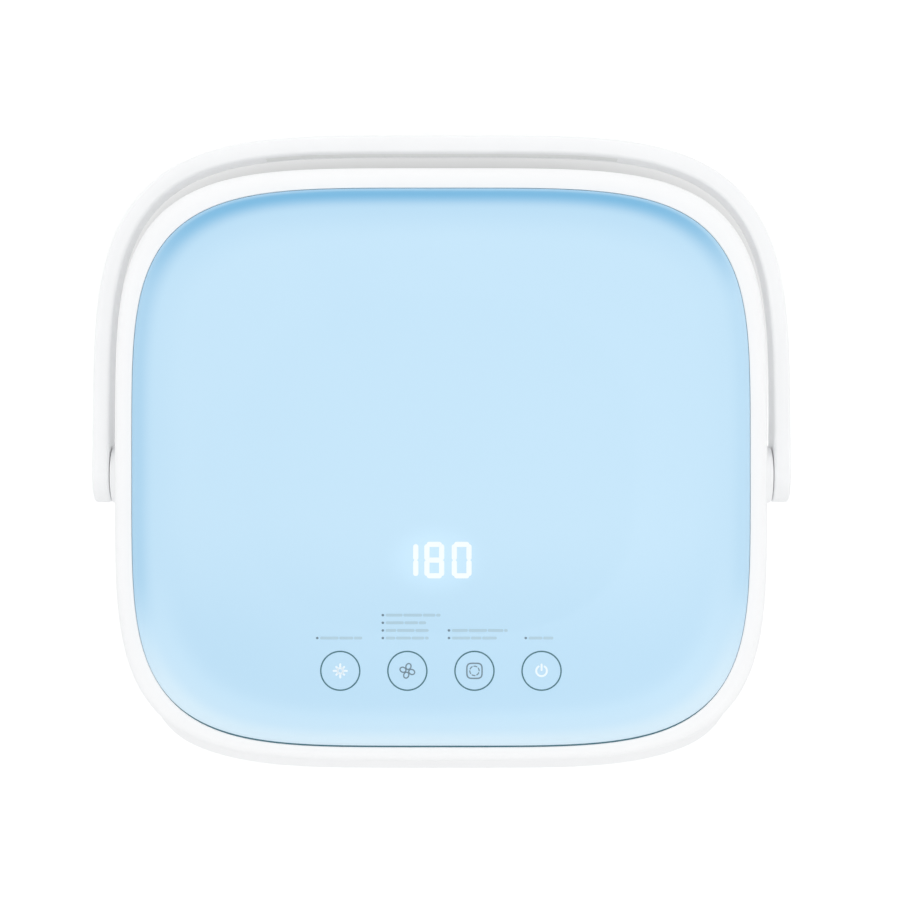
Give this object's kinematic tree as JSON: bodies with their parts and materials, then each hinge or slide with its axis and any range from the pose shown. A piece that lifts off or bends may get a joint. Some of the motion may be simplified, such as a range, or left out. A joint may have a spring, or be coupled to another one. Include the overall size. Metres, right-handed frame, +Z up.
{
  "type": "ultraviolet sterilizer box",
  "caption": "Rounded tabletop box with a domed touch-panel lid on rear hinges, a mirror-finish chamber with a wire rack, warm-air dryer and a swing handle.",
  "frame": {"origin": "on the standing surface, below the middle of the whole box with its handle folded to the rear", "axes": "+X to the user's right, +Y to the rear where the hinges are, +Z up"},
  "size_m": [0.288, 0.259, 0.25],
  "materials": {
    "white_plastic": "smooth moulded, soft gloss",
    "blue_panel": "polished clear over pale blue",
    "seal_silicone": "translucent silicone",
    "mirror_steel": "bright annealed steel sheet",
    "plain_steel": "satin",
    "magnet_nickel": "nickel plated",
    "heater_aluminium": "mill finish",
    "foot_rubber": "matte",
    "grip_soft": "soft touch",
    "black_plastic": "fine texture",
    "green_board": "solder mask",
    "white_board": "white solder mask or filled plastic",
    "quartz": "polished"
  },
  "bodies": {
    "cabinet": {"outer_shell": "white_plastic", "base_plate": "white_plastic", "foot_rear_right": "foot_rubber", "foot_rear_left": "foot_rubber", "foot_front_left": "foot_rubber", "foot_front_right": "foot_rubber", "base_screw_1": "plain_steel", "base_screw_2": "plain_steel", "base_screw_3": "plain_steel", "base_screw_4": "plain_steel", "top_collar": "white_plastic", "chamber_tank": "mirror_steel", "air_grille": "plain_steel", "fan_frame": "black_plastic", "heater_duct": "white_board", "ptc_heater": "heater_aluminium", "power_board": "green_board", "dc_jack": "black_plastic", "hall_sensor": "black_plastic", "floor_uv_window_left": "quartz", "floor_uv_window_right": "quartz", "floor_uv_board_left": "white_board", "floor_uv_board_right": "white_board", "strike_plate_left": "plain_steel", "strike_plate_right": "plain_steel", "hinge_pin_left": "plain_steel", "hinge_pin_right": "plain_steel", "handle_mount_right": "white_plastic", "handle_mount_left": "white_plastic", "handle_nut_right": "plain_steel", "handle_nut_left": "plain_steel", "pivot_cap_right": "white_plastic", "pivot_cap_left": "white_plastic"},
    "lid": {"lid_frame": "white_plastic", "lid_panel": "blue_panel", "lid_seal": "seal_silicone", "lid_liner": "mirror_steel", "control_board": "green_board", "display_module": "black_plastic", "touch_spring_1": "plain_steel", "touch_spring_2": "plain_steel", "touch_spring_3": "plain_steel", "touch_spring_4": "plain_steel", "lid_uv_board_front": "white_board", "lid_uv_board_rear": "white_board", "lid_uv_window_front_1": "quartz", "lid_uv_window_front_2": "quartz", "lid_uv_window_front_3": "quartz", "lid_uv_window_rear_1": "quartz", "lid_uv_window_rear_2": "quartz", "lid_uv_window_rear_3": "quartz", "lid_magnet_left": "magnet_nickel", "lid_magnet_right": "magnet_nickel", "interlock_magnet": "magnet_nickel"},
    "handle": {"handle_bail": "white_plastic", "handle_grip": "grip_soft"},
    "fan": {"fan_rotor": "black_plastic"},
    "rack": {"bottle_rack": "plain_steel"}
  },
  "joints": [
    {"name": "lid_hinge", "type": "hinge", "parent": "cabinet", "child": "lid", "pos_m": [0, 0.10885, 0.217], "axis": [-1, 0, 0], "range_deg": [0, 100]},
    {"name": "handle_pivot", "type": "hinge", "parent": "cabinet", "child": "handle", "pos_m": [0, -0.01045, 0.195], "axis": [1, 0, 0], "range_deg": [0, 90]},
    {"name": "fan_spin", "type": "hinge", "parent": "cabinet", "child": "fan", "pos_m": [0, -0.00715, 0.018], "axis": [0, 0, 1], "continuous": true},
    {"name": "rack_lift", "type": "slide", "parent": "cabinet", "child": "rack", "axis": [0, 0, 1], "range_m": [0, 0.13]}
  ]
}
